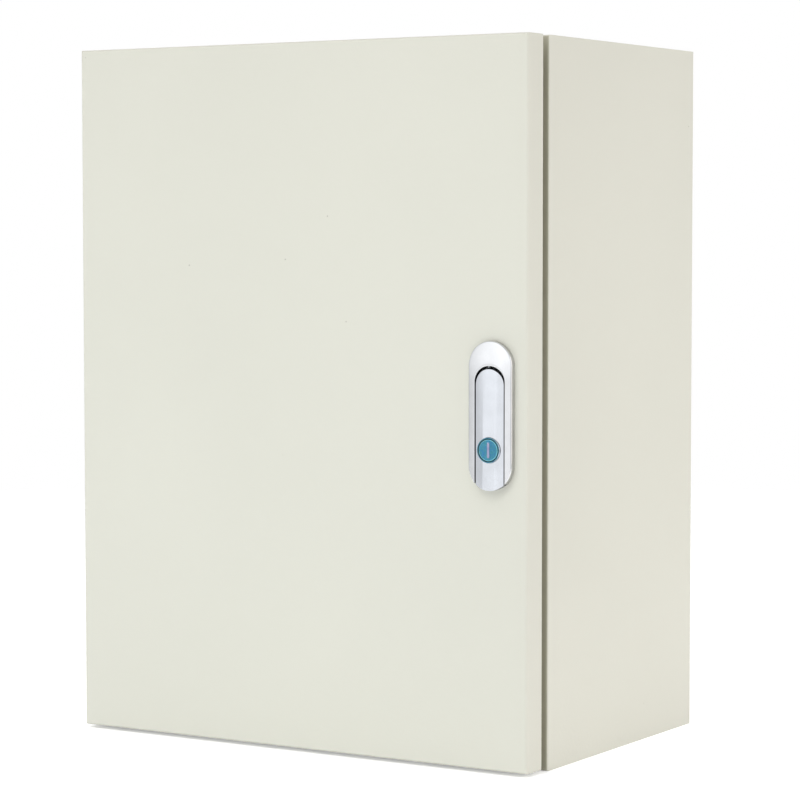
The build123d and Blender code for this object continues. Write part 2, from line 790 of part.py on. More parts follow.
with BuildPart() as key_plug:
    with BuildSketch(front(button_face_d - plug_face_t)):
        with Locations((lock_x, button_z)):
            Circle(plug_face_r)
    extrude(amount=plug_face_t)
    with BuildSketch(front(button_tail_d)):
        with Locations((lock_x, button_z)):
            Circle(plug_r)
    extrude(amount=button_face_d - plug_face_t - button_tail_d)
    with BuildSketch(front(button_face_d - key_depth)):
        with Locations((lock_x, button_z)):
            Rectangle(key_w, 2 * plug_r - key_w)
    extrude(amount=key_depth, mode=Mode.SUBTRACT)
    with BuildSketch(front(button_face_d - plug_face_t)):
        with Locations((lock_x, button_z)):
            Rectangle(key_w, key_h)
    extrude(amount=plug_face_t, mode=Mode.SUBTRACT)
save(key_plug, "key_plug")

# Return spring of the button
spring_d = lever_back_d + ledge_t
spring_height = button_back_d - spring_d
with BuildPart() as button_spring:
    with BuildLine():
        coil = Helix(
            pitch=(spring_height - 2 * spring_wire) / 2,
            height=spring_height - 2 * spring_wire,
            radius=spring_mean_r,
            center=(lock_x, -(spring_d + spring_wire), button_z),
            direction=(0, -1, 0),
        )
    with BuildSketch(Plane(coil @ 0, z_dir=coil % 0)):
        Circle(spring_wire)
    sweep(path=coil, is_frenet=True)
save(button_spring, "button_spring")
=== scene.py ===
import json
import math

import bmesh
import bpy
from mathutils import Matrix, Vector


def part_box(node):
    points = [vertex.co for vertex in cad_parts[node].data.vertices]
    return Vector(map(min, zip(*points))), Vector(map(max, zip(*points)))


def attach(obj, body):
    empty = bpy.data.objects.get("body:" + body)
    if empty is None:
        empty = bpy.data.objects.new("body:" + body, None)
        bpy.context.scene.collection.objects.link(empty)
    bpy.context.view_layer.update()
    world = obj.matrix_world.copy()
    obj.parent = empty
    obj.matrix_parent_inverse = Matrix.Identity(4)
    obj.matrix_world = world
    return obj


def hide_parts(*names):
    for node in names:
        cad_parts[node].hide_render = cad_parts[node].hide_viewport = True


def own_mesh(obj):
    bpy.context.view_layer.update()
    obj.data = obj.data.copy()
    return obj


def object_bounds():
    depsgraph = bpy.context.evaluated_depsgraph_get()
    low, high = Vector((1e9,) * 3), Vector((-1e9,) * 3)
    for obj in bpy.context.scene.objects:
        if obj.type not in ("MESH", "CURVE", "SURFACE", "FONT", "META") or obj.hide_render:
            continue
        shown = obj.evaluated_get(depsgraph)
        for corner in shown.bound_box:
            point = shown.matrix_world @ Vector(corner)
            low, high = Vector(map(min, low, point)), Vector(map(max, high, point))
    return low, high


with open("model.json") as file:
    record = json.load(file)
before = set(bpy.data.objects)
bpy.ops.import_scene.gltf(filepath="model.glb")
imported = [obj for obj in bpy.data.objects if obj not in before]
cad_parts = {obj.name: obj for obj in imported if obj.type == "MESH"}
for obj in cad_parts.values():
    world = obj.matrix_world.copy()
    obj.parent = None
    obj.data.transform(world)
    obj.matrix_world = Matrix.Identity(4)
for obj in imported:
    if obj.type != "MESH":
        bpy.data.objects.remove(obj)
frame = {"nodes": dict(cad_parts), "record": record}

CAD_BOX = [list(corner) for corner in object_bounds()]
MM = 0.001

# Camera of the photograph, in metres and degrees, with the lens centre in the middle
CAMERA_AT = Vector((0.8839, -1.5148, 0.0965))
CAMERA_YAW = 31.76
CAMERA_DOWN = 3.50
CAMERA_ROLL = -0.03
CAMERA_LENS = 126.9
CAMERA_SENSOR = 36.0

# Finish of the paint, as linear colours, and how much of each is left on the rim behind the door,
# which is darkened as painted shade in the gap round the door
PAINT = (0.690, 0.682, 0.602)
RIM_SHADE_TONE = (0.70, 0.68, 0.60)

# Floor, in metres: its radius and the distances between which it fades, and what the
# camera alone adds to it, so that it is as white as its surround
FLOOR_RADIUS = 3.0
FLOOR_VERTICES = 128
FLOOR_FADE = (0.55, 1.6)
FLOOR_GLOW = 0.35

# Soft light from all round, which everything but metal and the camera sees
SOFT_COLOUR = (1.0, 0.99, 0.98, 1.0)
SOFT_STRENGTH = 0.60

# Studio that the metal reflects: brightness by compass degrees (0 in front, 90 at the
# right), and a factor by degrees above the horizon
STUDIO_STRENGTH = 1.18
STUDIO_ROUND = [
    (-180, 0.34), (-110, 0.38), (-60, 0.44), (-50, 0.53), (-40, 0.64), (-30, 0.72),
    (-20, 0.78), (-8, 0.70), (5, 0.56), (60, 0.50), (140, 0.34), (180, 0.34),
]
STUDIO_HEIGHT = [(-90, 1.0), (-7, 1.1), (-4, 1.04), (3, 1.35), (25, 1.35), (50, 0.9), (90, 0.8)]

# Meshes: corners closer than WELD_MM are joined, and faces that meet flatter than
# FLAT_DEGREES become one. Edges past SHARP_DEGREES stay sharp, or past BUILT_DEGREES on the
# two pieces that are built here. TOUCH_MM is what counts as lying on a face
WELD_MM = 0.002
TOUCH_MM = 0.01
FLAT_DEGREES = 0.4
SHARP_DEGREES = 32
BUILT_DEGREES = 50
BEVEL_SEGMENTS = 3
QUARTER_STEPS = 4

# Depth of the body's rim behind the front of its lip, and how far its painted shade stays inside
# the door's outline, in mm
RIM_STEP_MM = 13.9
RIM_INSET_MM = 0.2

# Lock plate, in mm: the groove beside the lever, the fall of the face to the sides and to
# its top, the rounding of the recess's lip, how far the lip hangs over the lever's head and
# how deep it is, the rounding of the plate's edge, and the floor under the lever's tip
LEVER_PLAY_MM = 0.55
CROWN_MM = 1.0
CAP_DROP_MM = 0.9
LIP_R_MM = 0.35
LIP_OVER_MM = 0.75
LIP_DEEP_MM = 1.2
RIM_R_MM = 0.6
TIP_LENGTH_MM = 10.9
TIP_FLOOR_MM = 1.0

# Steps along the plate's outline: round its foot, up its straight side and round the head
# of the recess; across its face; and round the tip's floor. The foot's steps crowd
# together where the outline is steep
FOOT_STEPS = 12
FOOT_CROWDING = 1.6
STRAIGHT_STEPS = 14
HEAD_STEPS = 30
FACE_STEPS = 9
TIP_STEPS = 16

# Threads, in mm: the neck's radius and how near to it a face is thread, and how far behind
# the front of the mounting plate the studs are still threaded
NECK_R_MM = 8.0
NECK_BAND_MM = 0.5
STUD_THREAD_MM = 1.0

# Blue film over the key disc, in mm: the dent in the key slot, and the rolled edge. Each
# ring of the disc has RING points
RING = 96
KEY_H_MM = 8.6
PLUG_FACE_T_MM = 1.5
DENT_MM = 0.3
DENT_HALF_MM = 0.55
FILM_EDGE_MM = 0.35

# The same film on the button, in mm: how far it reaches back, and what counts as its front
BUTTON_FILM_MM = 1.2
BUTTON_FRONT_MM = 0.05

# Sockets of a Mix node that mixes colours
MIX_FIRST = 6
MIX_SECOND = 7
MIX_RESULT = 2


def srgb(red, green, blue):
    """Linear colour of an sRGB triple given from 0 to 255."""
    def linear(value):
        value /= 255
        return value / 12.92 if value <= 0.04045 else ((value + 0.055) / 1.055) ** 2.4
    return (linear(red), linear(green), linear(blue), 1.0)


def grey(value):
    return (value, value, value, 1.0)


def scaled(base, factor):
    """Colour times a factor, held below white."""
    return tuple(min(channel * factor, 1) for channel in base)


def feed(tree, value, socket):
    """Link a node's output to a socket, or set a plain value on it."""
    if hasattr(value, "links"):
        tree.links.new(value, socket)
    else:
        socket.default_value = value


def colour_ramp(tree, source, stops):
    """Colour by a value from 0 to 1, as stops of (position, colour)."""
    node = tree.nodes.new("ShaderNodeValToRGB")
    while len(node.color_ramp.elements) < len(stops):
        node.color_ramp.elements.new(0.5)
    for element, (position, colour) in zip(node.color_ramp.elements, stops):
        element.position = position
        element.color = colour if len(colour) == 4 else (*colour, 1.0)
    tree.links.new(source, node.inputs["Fac"])
    return node.outputs["Color"]


class Nodes:
    """A material's node tree, with short calls to add and join nodes."""

    def __init__(self, name):
        self.material = bpy.data.materials.new(name)
        self.material.use_nodes = True
        self.tree = self.material.node_tree
        self.shader = self.tree.nodes["Principled BSDF"]
        self.coords = self.add("ShaderNodeTexCoord")

    def add(self, kind, **values):
        node = self.tree.nodes.new(kind)
        for key, value in values.items():
            setattr(node, key, value)
        return node

    def link(self, source, target):
        self.tree.links.new(source, target)

    def set(self, **values):
        """Constants straight on the shader's own sockets."""
        for key, value in values.items():
            self.shader.inputs[key.replace("_", " ")].default_value = value

    def noise(self, scale, detail=3.0, distortion=0.0):
        node = self.add("ShaderNodeTexNoise")
        node.inputs["Scale"].default_value = scale
        node.inputs["Detail"].default_value = detail
        node.inputs["Distortion"].default_value = distortion
        self.link(self.coords.outputs["Object"], node.inputs["Vector"])
        return node.outputs["Fac"]

    def voronoi(self, scale, output="Distance"):
        node = self.add("ShaderNodeTexVoronoi")
        node.inputs["Scale"].default_value = scale
        self.link(self.coords.outputs["Object"], node.inputs["Vector"])
        return node.outputs[output]

    def ramp(self, source, *stops):
        return colour_ramp(self.tree, source, stops)

    def mix(self, factor, first, second, blend="MIX"):
        node = self.add("ShaderNodeMix", data_type="RGBA", blend_type=blend)
        feed(self.tree, factor, node.inputs["Factor"])
        feed(self.tree, first, node.inputs[MIX_FIRST])
        feed(self.tree, second, node.inputs[MIX_SECOND])
        return node.outputs[MIX_RESULT]

    def remap(self, source, low, high, start=0.0, end=1.0):
        """Value that runs from low to high while the source runs from start to end."""
        node = self.add("ShaderNodeMapRange")
        limits = {"From Min": start, "From Max": end, "To Min": low, "To Max": high}
        for key, value in limits.items():
            node.inputs[key].default_value = value
        self.link(source, node.inputs["Value"])
        return node.outputs["Result"]

    def wave(self, pitch):
        """Ridges of one pitch, in metres, along the axis of the studs."""
        node = self.add("ShaderNodeTexWave", bands_direction="Y")
        node.inputs["Scale"].default_value = math.tau / (20 * pitch)
        self.link(self.coords.outputs["Object"], node.inputs["Vector"])
        return node.outputs["Fac"]

    def bump(self, source, strength, distance):
        node = self.add("ShaderNodeBump")
        node.inputs["Strength"].default_value = strength
        node.inputs["Distance"].default_value = distance
        self.link(source, node.inputs["Height"])
        self.link(node.outputs["Normal"], self.shader.inputs["Normal"])

    def colour(self, source):
        self.link(source, self.shader.inputs["Base Color"])

    def roughness(self, source):
        self.link(source, self.shader.inputs["Roughness"])


def paint(name, base):
    """Cream powder coat: orange peel, a faint cloudy tone and a few tiny specks."""
    n = Nodes(name)
    tone = n.ramp(n.noise(6.0, 2.0), (0.3, scaled(base, 0.985)), (0.7, scaled(base, 1.012)))
    grain = n.mix(n.remap(n.noise(2600.0, 2.0), 0.0, 0.05), tone, grey(0.35))
    specks = n.ramp(n.voronoi(95.0), (0.0, grey(1.0)), (0.022, grey(1.0)), (0.034, grey(0.0)))
    rare = n.ramp(n.noise(38.0, 0.0), (0.66, grey(0.0)), (0.69, grey(1.0)))
    dots = n.mix(1.0, specks, rare, "MULTIPLY")
    n.colour(n.mix(dots, grain, srgb(120, 112, 96)))
    n.roughness(n.remap(n.noise(300.0, 3.0), 0.36, 0.46))
    n.set(Specular_IOR_Level=0.45, Coat_Weight=0.12, Coat_Roughness=0.22)
    n.bump(n.noise(420.0, 2.0), 0.18, 0.0003)
    return n.material


def metal(name, base, rough, peel=900.0, depth=0.08, spread=0.06):
    """Bare or plated metal with a fine uneven polish."""
    n = Nodes(name)
    n.colour(n.ramp(n.noise(90.0, 3.0), (0.25, scaled(base, 0.93)), (0.75, scaled(base, 1.04))))
    n.roughness(n.remap(n.noise(peel / 2, 4.0), rough - spread, rough + spread))
    n.set(Metallic=1.0)
    n.bump(n.noise(peel, 3.0), depth, 0.0002)
    return n.material


def thread(name, base, rough, pitch):
    """Screw thread as ridges round a stud, screw or neck, with painted shade in the grooves."""
    n = Nodes(name)
    ridges = n.wave(pitch)
    # the grooves between the ridges are darker, as painted shade
    n.colour(n.ramp(ridges, (0.0, scaled(base, 0.45)), (0.6, base)))
    n.roughness(n.remap(n.noise(700.0), rough - 0.05, rough + 0.08))
    n.set(Metallic=1.0)
    n.bump(ridges, 1.0, pitch * 0.45)
    return n.material


def film(name, first, second, rough):
    """Thin clear film on bright metal, with soft wrinkles."""
    n = Nodes(name)
    n.colour(n.ramp(n.noise(420.0, 2.0, distortion=0.6), (0.35, first), (0.65, second)))
    n.roughness(n.remap(n.noise(900.0), rough - 0.04, rough + 0.06))
    n.set(Metallic=0.85, Coat_Weight=0.5, Coat_Roughness=0.12)
    n.bump(n.noise(650.0, 2.0, distortion=0.8), 0.35, 0.0003)
    return n.material


def galvanised(name):
    """Hot-dip zinc with its spangle."""
    n = Nodes(name)
    flakes = n.add("ShaderNodeSeparateColor")
    n.link(n.voronoi(150.0, "Color"), flakes.inputs["Color"])
    tone = n.ramp(flakes.outputs["Red"], (0.0, (0.54, 0.56, 0.58)), (1.0, (0.67, 0.69, 0.71)))
    n.colour(n.mix(n.remap(n.noise(60.0, 5.0), 0.0, 0.35), tone, (0.60, 0.62, 0.65, 1.0)))
    n.roughness(n.remap(flakes.outputs["Green"], 0.30, 0.52))
    n.set(Metallic=1.0)
    n.bump(flakes.outputs["Blue"], 0.05, 0.0002)
    return n.material


def rubber(name, base, pores=1200.0):
    """Matt rubber or foam with pores."""
    n = Nodes(name)
    n.colour(n.ramp(n.noise(pores / 3, 4.0), (0.3, scaled(base, 0.75)), (0.7, scaled(base, 1.25))))
    n.roughness(n.remap(n.noise(pores / 2), 0.75, 0.95))
    n.bump(n.voronoi(pores), 0.5, 0.0004)
    return n.material


MATERIALS = {
    "powder_coat": paint("cream_powder_coat", PAINT),
    # the rim's coat is the paint darkened as painted shade for the gap behind the door
    "rim_painted_shade": paint("painted_shade_on_rim", tuple(c * tone for c, tone in zip(PAINT, RIM_SHADE_TONE))),
    "galvanised": galvanised("galvanised_sheet"),
    "zinc_plate": metal("zinc_plating", (0.66, 0.68, 0.70), 0.26, 500.0, 0.035),
    "steel": metal("turned_steel", (0.52, 0.52, 0.53), 0.30),
    "spring_steel": metal("spring_steel", (0.34, 0.34, 0.36), 0.34),
    "brass": metal("brass_plain", (0.72, 0.55, 0.25), 0.28),
    "black_rubber": rubber("black_rubber", (0.022, 0.022, 0.024)),
    "grey_foam": rubber("sealing_foam", (0.045, 0.045, 0.048), 1500.0),
    "chrome": metal("satin_chrome", (0.86, 0.875, 0.90), 0.11, 500.0, 0.03, 0.03),
    # dark metal in the lever's recess, as painted shade in the hollow under the lip
    "recess": metal("recess_painted_shade", (0.15, 0.15, 0.155), 0.5),
    # the plate's side wall is darker metal, as painted shade where the plate meets the door
    "plate_side": metal("side_wall_painted_shade", (0.60, 0.60, 0.595), 0.42, 500.0, 0.05),
    # the lever's sides are darker metal, as painted shade in the grooves beside it
    "lever_side_shade": metal("lever_side_shade", (0.27, 0.275, 0.285), 0.40, 500.0, 0.05),
    "button_chrome": metal("bright_chrome", (0.70, 0.74, 0.78), 0.10, 500.0, 0.02, 0.03),
    "lever_chrome": metal("lever_chrome", (0.86, 0.895, 0.955), 0.11, 500.0, 0.03, 0.03),
    "plug_blue": film("blue_film", (0.045, 0.235, 0.43), (0.055, 0.285, 0.36), 0.16),
    # lighter cyan film on the plug's rolled edge, as a painted highlight
    "film_rim_highlight": film("film_rim_highlight", (0.20, 0.56, 0.64), (0.26, 0.62, 0.70), 0.14),
    # dark teal for the film's edge, as painted shade of the gap round the button
    "film_edge_shade": film("film_edge_shade", (0.030, 0.070, 0.090), (0.045, 0.105, 0.115), 0.30),
    # lighter lavender in the slot's dent, as painted sheen of the film stretched over it
    "film_dent_sheen": film("film_dent_sheen", (0.34, 0.36, 0.56), (0.42, 0.42, 0.60), 0.35),
    "thread": thread("stud_thread", (0.62, 0.64, 0.66), 0.28, 0.001),
    "neck_thread": thread("neck_thread", (0.60, 0.61, 0.63), 0.25, 0.0015),
}

SLOT_OF = {part["node"]: part["material_slot"] for part in frame["record"]["subparts"]}
BODY_OF = {
    node: body
    for body, nodes in frame["record"]["behaviour"]["bodies"].items()
    for node in nodes
}

for node, obj in frame["nodes"].items():
    obj.data.materials.clear()
    obj.data.materials.append(MATERIALS[SLOT_OF[node]])


def finish_piece(name, bm, nodes, materials, bevel=0.0, sharp=SHARP_DEGREES):
    """Turn a bmesh into a piece that stands for some CAD nodes and rides on their body."""
    for face in bm.faces:
        face.smooth = True
    for edge in bm.edges:
        edge.smooth = edge.calc_face_angle(0.0) < math.radians(sharp)
    mesh = bpy.data.meshes.new(name)
    bm.to_mesh(mesh)
    bm.free()
    for material in materials:
        mesh.materials.append(MATERIALS[material])
    piece = bpy.data.objects.new(name, mesh)
    bpy.context.collection.objects.link(piece)
    if bevel:
        rounding = piece.modifiers.new("edge_rounding", "BEVEL")
        rounding.width = bevel * MM
        rounding.segments = BEVEL_SEGMENTS
        rounding.limit_method = "ANGLE"
        rounding.angle_limit = math.radians(sharp)
        rounding.harden_normals = True
    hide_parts(*nodes)
    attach(piece, BODY_OF[nodes[0]])
    return piece


def cad_copy(node, keep=None):
    """Clean bmesh of a CAD node, with its split corners joined; keep(face) chooses faces."""
    data = frame["nodes"][node].data
    bm = bmesh.new()
    verts = [bm.verts.new(vert.co) for vert in data.vertices]
    for polygon in data.polygons:
        bm.faces.new([verts[index] for index in polygon.vertices])
    bmesh.ops.remove_doubles(bm, verts=bm.verts, dist=WELD_MM * MM)
    if keep is not None:
        unwanted = [face for face in bm.faces if not keep(face)]
        bmesh.ops.delete(bm, geom=unwanted, context="FACES")
    flat = math.radians(FLAT_DEGREES)
    bmesh.ops.dissolve_limit(bm, angle_limit=flat, verts=bm.verts, edges=bm.edges)
    return bm


def rounded(node, bevel):
    """Piece with the CAD node's own shape and slightly broken edges."""
    return finish_piece(f"{node}_piece", cad_copy(node), [node], [SLOT_OF[node]], bevel)


def banded(node, bevel, others, chosen):
    """CAD piece with other materials; chosen(face) gives 0 for its own or counts in others."""
    bm = cad_copy(node)
    for face in bm.faces:
        face.material_index = int(chosen(face))
    finish_piece(f"{node}_piece", bm, [node], [SLOT_OF[node], *others], bevel)


def quarter_turns(first=0):
    """Angles of a quarter circle, from its step number first to its end."""
    return [math.radians(90 / QUARTER_STEPS * step) for step in range(first, QUARTER_STEPS + 1)]


# Edges of sheet, turned and pressed pieces are broken a little, in mm
EDGE_MM = {
    "door_pan": 0.35, "back_panel": 0.3, "mounting_plate": 0.5,
    "lock_bracket": 0.3, "lock_cam": 0.4, "cam_washer": 0.2, "cam_nut": 0.3, "lock_nut": 0.4,
    "plate_washers": 0.25, "plate_nuts": 0.35, "earth_washer": 0.25, "earth_nut": 0.35,
    "door_earth_nut": 0.35, "gland_plate": 0.35,
    "hinge_leaf_body_upper": 0.3, "hinge_leaf_body_lower": 0.3,
    "hinge_leaf_door_upper": 0.3, "hinge_leaf_door_lower": 0.3,
}
for node, width in EDGE_MM.items():
    rounded(node, width)


def slot_ring(half_w, half_h):
    """Points round a slim upright slot, evenly spaced along its edge."""
    straight = half_h - half_w
    length = 4 * straight + math.tau * half_w
    points = []
    for step in range(RING):
        along = (step / RING * length + straight) % length - straight
        if along <= straight:
            points.append((half_w, along))
        elif along <= straight + math.pi * half_w:
            turn = (along - straight) / half_w
            points.append((half_w * math.cos(turn), straight + half_w * math.sin(turn)))
        elif along <= 3 * straight + math.pi * half_w:
            points.append((-half_w, straight - (along - straight - math.pi * half_w)))
        else:
            turn = math.pi + (along - 3 * straight - math.pi * half_w) / half_w
            points.append((half_w * math.cos(turn), -straight + half_w * math.sin(turn)))
    return points


def circle(radius):
    turns = [math.tau * step / RING for step in range(RING)]
    return [(radius * math.cos(turn), radius * math.sin(turn)) for turn in turns]


def key_disc():
    """Key plug under its film: a disc with a rolled edge, and the film dented into the slot."""
    low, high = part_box("key_plug")
    cx, cz = (low[0] + high[0]) / 2, (low[2] + high[2]) / 2
    radius = (high[0] - low[0]) / 2
    face_y = low[1]
    spindle_low, spindle_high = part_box("lock_spindle")
    barrel = (spindle_high[0] - spindle_low[0]) / 2
    slot_half = (KEY_H_MM / 2) * MM
    wide = DENT_HALF_MM * MM
    edge = FILM_EDGE_MM * MM
    materials = ("plug_blue", "film_rim_highlight", "steel", "film_dent_sheen")
    blue, rim, steel, dent = range(len(materials))

    # each ring: points, depth behind the face, and material of the band that ends there
    # the dent's bands are lighter lavender film, as painted sheen
    rings = [
        (slot_ring(wide * 0.55, slot_half - 0.5 * MM), DENT_MM * MM, dent),
        (slot_ring(wide, slot_half - 0.1 * MM), DENT_MM * 0.75 * MM, dent),
        (slot_ring(wide * 1.35, slot_half), DENT_MM * 0.2 * MM, dent),
        (slot_ring(wide * 1.9, slot_half + 0.2 * MM), 0.0, blue),
        (circle(radius - 2.2 * edge), 0.0, blue),
        (circle(radius - 1.2 * edge), 0.0, blue),
    ]
    # the rolled edge takes the lighter cyan film, as a painted highlight
    for turn in quarter_turns(first=1):
        inset = edge * (1 - math.sin(turn))
        rings.append((circle(radius - inset), edge * (1 - math.cos(turn)), rim))
    rings.append((circle(radius), PLUG_FACE_T_MM * MM, steel))
    rings.append((circle(barrel), PLUG_FACE_T_MM * MM, steel))
    rings.append((circle(barrel), high[1] - face_y, steel))

    bm = bmesh.new()
    rows = [
        [bm.verts.new((cx + x, face_y + depth, cz + z)) for x, z in points]
        for points, depth, _ in rings
    ]
    bm.faces.new(rows[0]).material_index = dent
    for (_, _, index), before, after in zip(rings[1:], rows, rows[1:]):
        for step in range(RING):
            following = (step + 1) % RING
            corners = (before[step], after[step], after[following], before[following])
            bm.faces.new(corners).material_index = index
    bm.faces.new(reversed(rows[-1])).material_index = steel
    bmesh.ops.recalc_face_normals(bm, faces=bm.faces)
    finish_piece("key_disc", bm, ["key_plug"], materials, sharp=BUILT_DEGREES)


# The rim behind the door has the same coat, darkened as painted shade so that the gap round the door
# looks dark
body_low, body_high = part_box("body_wrap")
rim_inset = (body_high[0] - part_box("door_pan")[1][0]) + RIM_INSET_MM * MM


def behind_door(face):
    middle = face.calc_center_median()
    if middle.y >= body_low[1] + RIM_STEP_MM * MM:
        return False
    return abs(middle.x) < body_high[0] - rim_inset and abs(middle.z) < body_high[2] - rim_inset


banded("body_wrap", 0.3, ["rim_painted_shade"], behind_door)

# The film also wraps the front of the button, with a dark edge round the side as painted shade of its
# gap
button_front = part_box("lock_button")[0][1]


def button_band(face):
    middle = face.calc_center_median()
    if middle.y > button_front + BUTTON_FILM_MM * MM:
        return 0
    faces_front = abs(face.normal.y) > 0.9
    return 1 if faces_front and middle.y < button_front + BUTTON_FRONT_MM * MM else 2


def lever_band(face):
    return 2 if abs(face.normal.y) < 0.3 else 1


banded("lock_button", 0.15, ["plug_blue", "film_edge_shade"], button_band)
banded("lock_lever", 0.2, ["lever_chrome", "lever_side_shade"], lever_band)

# Threads run on the free length of the studs
plate_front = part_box("mounting_plate")[0][1]


def free_length(face):
    return face.calc_center_median().y < plate_front + STUD_THREAD_MM * MM


def round_side(face):
    return abs(face.normal.y) < 0.5


banded("plate_studs", 0.0, ["thread"], free_length)
banded("earth_stud", 0.0, ["thread"], round_side)
banded("door_earth_stud", 0.0, ["thread"], round_side)
key_disc()

# The button's return spring, with a mesh of its own
coil = rounded("button_spring", 0.0)
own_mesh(coil)


def lock_plate():
    """Chrome face of the lock: a crowned strip round the recess, on the housing behind it."""
    low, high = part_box("lock_housing")
    door_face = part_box("door_pan")[0][1]
    lever_low, lever_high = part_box("lock_lever")
    spindle_low, spindle_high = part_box("lock_spindle")
    centre = (low[0] + high[0]) / 2
    radius = (high[0] - low[0]) / 2
    foot_z, top_z = low[2] + radius, high[2] - radius
    inner = (lever_high[0] - lever_low[0]) / 2 + LEVER_PLAY_MM * MM
    head_z = (spindle_low[2] + spindle_high[2]) / 2
    tip_z = foot_z - math.sqrt(radius ** 2 - inner ** 2)
    floor_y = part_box("lever_spring")[1][1]
    face_y = low[1]
    materials = ("chrome", "recess", "plate_side", "neck_thread")
    _, recess, side, neck = range(len(materials))

    # spokes round the right half of the plate, from the foot to the top: each has its point
    # on the lip of the recess, on the plate's edge, and on the wall under the lip
    spokes = []
    for step in range(1, FOOT_STEPS + 1):
        z = tip_z + (foot_z - tip_z) * (step / FOOT_STEPS) ** FOOT_CROWDING
        reach = math.sqrt(max(radius ** 2 - (z - foot_z) ** 2, 0))
        spokes.append(((inner, z), (reach, z), (inner, z)))
    for step in range(1, STRAIGHT_STEPS + 1):
        z = foot_z + (head_z - foot_z) * step / STRAIGHT_STEPS
        spokes.append(((inner, z), (radius, z), (inner, z)))
    rise = top_z - head_z
    lip_rise = inner - LIP_OVER_MM * MM
    for step in range(1, HEAD_STEPS + 1):
        turn = math.radians(90 / HEAD_STEPS * step)
        reach = radius / math.cos(turn) if step < HEAD_STEPS else math.inf
        if head_z + reach * math.sin(turn) > top_z:
            reach = rise * math.sin(turn) + math.sqrt(radius ** 2 - (rise * math.cos(turn)) ** 2)
        spokes.append((
            (inner * math.cos(turn), head_z + lip_rise * math.sin(turn)),
            (reach * math.cos(turn), head_z + reach * math.sin(turn)),
            (inner * math.cos(turn), head_z + inner * math.sin(turn)),
        ))
    spokes += [tuple((-x, z) for x, z in points) for points in reversed(spokes[:-1])]

    def surface(x, z):
        """Depth of the crowned face at a point."""
        cap = max(0.0, (z - head_z) / (high[2] - head_z))
        return face_y + CROWN_MM * MM * (x / radius) ** 2 + CAP_DROP_MM * MM * cap ** 2

    def section(span):
        """Points from the lip to the plate's edge, as (distance, drop below the face)."""
        lip = min(LIP_R_MM * MM, span / 3)
        rim = min(RIM_R_MM * MM, span / 3)
        points = [(lip * (1 - math.cos(turn)), lip * (1 - math.sin(turn))) for turn in quarter_turns()]
        for step in range(1, FACE_STEPS):
            points.append((lip + (span - lip - rim) * step / FACE_STEPS, 0.0))
        for turn in quarter_turns():
            points.append((span - rim * (1 - math.sin(turn)), rim * (1 - math.cos(turn))))
        return points

    def behind_face(face):
        return min(vert.co.y for vert in face.verts) > door_face - TOUCH_MM * MM

    bm = cad_copy("lock_housing", behind_face)
    rows = []
    for (ix, iz), (ox, oz), (wx, wz) in spokes:
        span = math.hypot(ox - ix, oz - iz)
        ux, uz = (ox - ix) / span, (oz - iz) / span
        row = [
            bm.verts.new((centre + wx, floor_y, wz)),
            bm.verts.new((centre + wx, surface(ix, iz) + LIP_DEEP_MM * MM, wz)),
        ]
        for along, drop in section(span):
            x, z = ix + ux * along, iz + uz * along
            row.append(bm.verts.new((centre + x, surface(x, z) + drop, z)))
        x, z = ix + ux * span, iz + uz * span
        row.append(bm.verts.new((centre + x, door_face, z)))
        rows.append(row)
    for before, after in zip(rows, rows[1:]):
        for a, b, c, d in zip(before, before[1:], after[1:], after):
            face = bm.faces.new((a, d, c, b))
            # the walls under the lip take the recess's dark metal, as painted shade
            if a in before[:2]:
                face.material_index = recess
            # the wall down to the door takes the darker side metal, as painted shade
            elif d is after[-2]:
                face.material_index = side
    bm.faces.new(rows[0])
    bm.faces.new(reversed(rows[-1]))

    # thin floor under the tip of the lever
    step_z = lever_low[2] + TIP_LENGTH_MM * MM
    tip_y = door_face - TIP_FLOOR_MM * MM
    outline = [(centre - inner, step_z)]
    for step in range(TIP_STEPS + 1):
        x = -inner + 2 * inner * step / TIP_STEPS
        outline.append((centre + x, foot_z - math.sqrt(radius ** 2 - x ** 2)))
    outline.append((centre + inner, step_z))
    front = [bm.verts.new((x, tip_y, z)) for x, z in outline]
    back = [bm.verts.new((x, floor_y if z == step_z else door_face, z)) for x, z in outline]
    bm.faces.new(front)
    for place in range(len(outline)):
        following = (place + 1) % len(outline)
        bm.faces.new((front[place], back[place], back[following], front[following]))
    bmesh.ops.recalc_face_normals(bm, faces=bm.faces)

    # thread on the neck behind the door
    for face in bm.faces:
        middle = face.calc_center_median()
        off_neck = abs(math.hypot(middle.x - centre, middle.z - head_z) - NECK_R_MM * MM)
        if middle.y > door_face and abs(face.normal.y) < 0.2 and off_neck < NECK_BAND_MM * MM:
            face.material_index = neck
    finish_piece("lock_plate", bm, ["lock_housing"], materials, sharp=BUILT_DEGREES)


lock_plate()

# Floor that fades into the white surround, so that it only keeps the shadow
bpy.ops.mesh.primitive_circle_add(
    vertices=FLOOR_VERTICES, radius=FLOOR_RADIUS, fill_type="NGON", location=(0, -0.1, CAD_BOX[0][2]),
)
floor = bpy.context.object
floor.name = "floor"
white_floor = Nodes("white_floor")
white_floor.set(Base_Color=(0.97, 0.97, 0.97, 1.0), Roughness=0.9, Specular_IOR_Level=0.1)
distance = white_floor.add("ShaderNodeVectorMath", operation="LENGTH")
white_floor.link(white_floor.coords.outputs["Object"], distance.inputs[0])
fade = white_floor.remap(distance.outputs["Value"], 1.0, 0.0, *FLOOR_FADE)
white_floor.link(fade, white_floor.shader.inputs["Alpha"])
rays = white_floor.add("ShaderNodeLightPath")
glow = white_floor.remap(rays.outputs["Is Camera Ray"], 0.0, FLOOR_GLOW)
white_floor.link(glow, white_floor.shader.inputs["Emission Strength"])
white_floor.set(Emission_Color=(1.0, 1.0, 1.0, 1.0))
floor.data.materials.append(white_floor.material)

